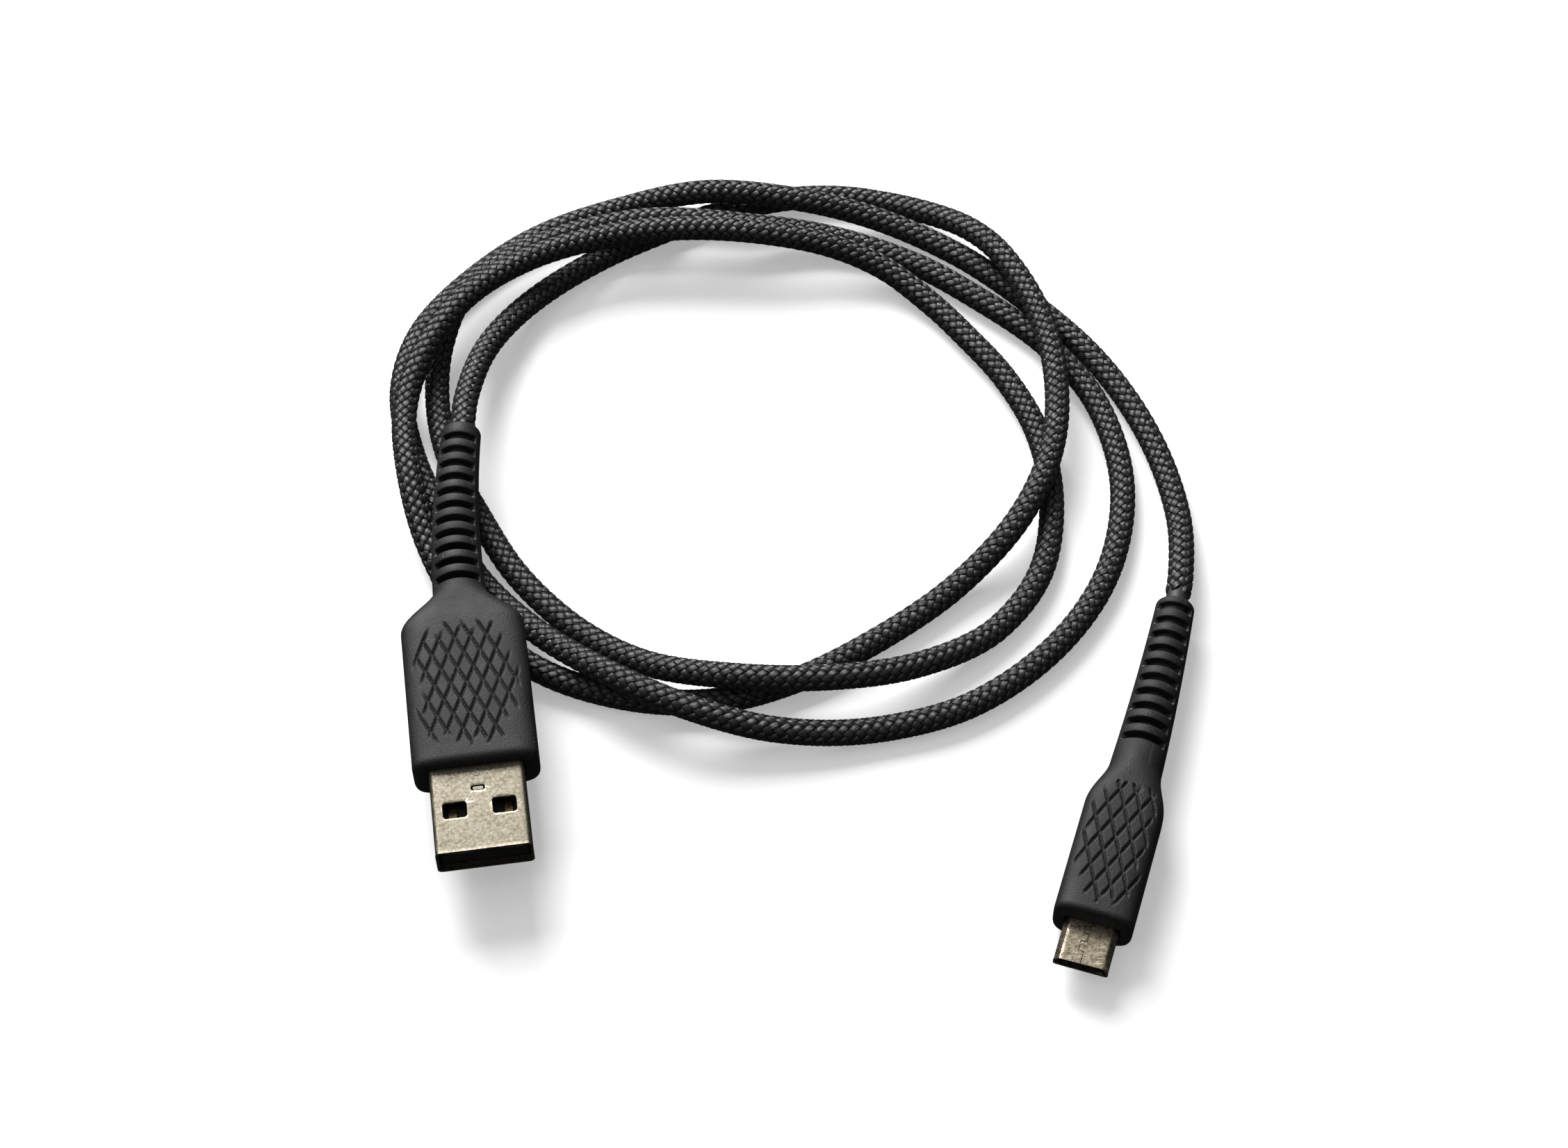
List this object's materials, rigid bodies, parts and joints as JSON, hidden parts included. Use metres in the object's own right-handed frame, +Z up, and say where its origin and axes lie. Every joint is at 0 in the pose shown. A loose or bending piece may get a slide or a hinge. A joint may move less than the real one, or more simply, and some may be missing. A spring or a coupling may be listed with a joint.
{
  "type": "usb charging cable",
  "caption": "Braided charging cable lying in loose coils, with a large flat Type-A plug on one end and a small flat Micro-B plug on the other, each with a ribbed bending boot.",
  "frame": {"origin": "bottom centre of the box round the two plugs, on the surface that the cable lies on", "axes": "+Z up; the large plug's nose points along -Y; +X from the large plug towards the small plug"},
  "size_m": [0.1072, 0.1354, 0.0119],
  "materials": {
    "black_moulding": "fine-grained matte black elastomer moulding",
    "inner_mould": "plain off-white moulding",
    "black_jacket": "smooth matte black sleeve",
    "crimp_metal": "plain crimped metal",
    "wire_red": "smooth red insulation",
    "wire_white": "smooth white insulation",
    "wire_green": "smooth green insulation",
    "wire_black": "smooth black insulation",
    "champagne_shell": "satin warm nickel plating, finely mottled",
    "bronze_shell": "satin brownish plating, finely scratched",
    "black_insulator": "matte black moulding",
    "gold_contact": "smooth gold-coloured plating",
    "spring_steel": "bright spring metal",
    "black_braid": "dense black braided nylon with a satin sheen"
  },
  "bodies": {
    "cable": {"usb_a_overmould": "black_moulding", "usb_a_inner_mould": "inner_mould", "usb_a_jacket": "black_jacket", "usb_a_crimp_ring": "crimp_metal", "usb_a_wire_1": "wire_red", "usb_a_wire_2": "wire_white", "usb_a_wire_3": "wire_green", "usb_a_wire_4": "wire_black", "usb_a_shell": "champagne_shell", "usb_a_insulator": "black_insulator", "usb_a_contact_1": "gold_contact", "usb_a_contact_2": "gold_contact", "usb_a_contact_3": "gold_contact", "usb_a_contact_4": "gold_contact", "micro_overmould": "black_moulding", "micro_inner_mould": "inner_mould", "micro_jacket": "black_jacket", "micro_crimp_ring": "crimp_metal", "micro_wire_1": "wire_red", "micro_wire_2": "wire_white", "micro_wire_3": "wire_green", "micro_wire_4": "wire_black", "micro_shell": "bronze_shell", "micro_insulator": "black_insulator", "micro_contact_1": "gold_contact", "micro_contact_2": "gold_contact", "micro_contact_3": "gold_contact", "micro_contact_4": "gold_contact", "micro_contact_5": "gold_contact", "cord": "black_braid"},
    "latch_left": {"micro_latch_left": "spring_steel"},
    "latch_right": {"micro_latch_right": "spring_steel"}
  },
  "joints": [
    {"name": "latch_left_spring", "type": "hinge", "parent": "cable", "child": "latch_left", "pos_m": [0.02769, -0.03579, 0.00331], "axis": [-0.9033, 0.4289, 0], "range_deg": [0, 2.5], "stiffness_Nm_per_rad": 0.002},
    {"name": "latch_right_spring", "type": "hinge", "parent": "cable", "child": "latch_right", "pos_m": [0.03194, -0.0378, 0.00331], "axis": [-0.9033, 0.4289, 0], "range_deg": [0, 2.5], "stiffness_Nm_per_rad": 0.002}
  ]
}
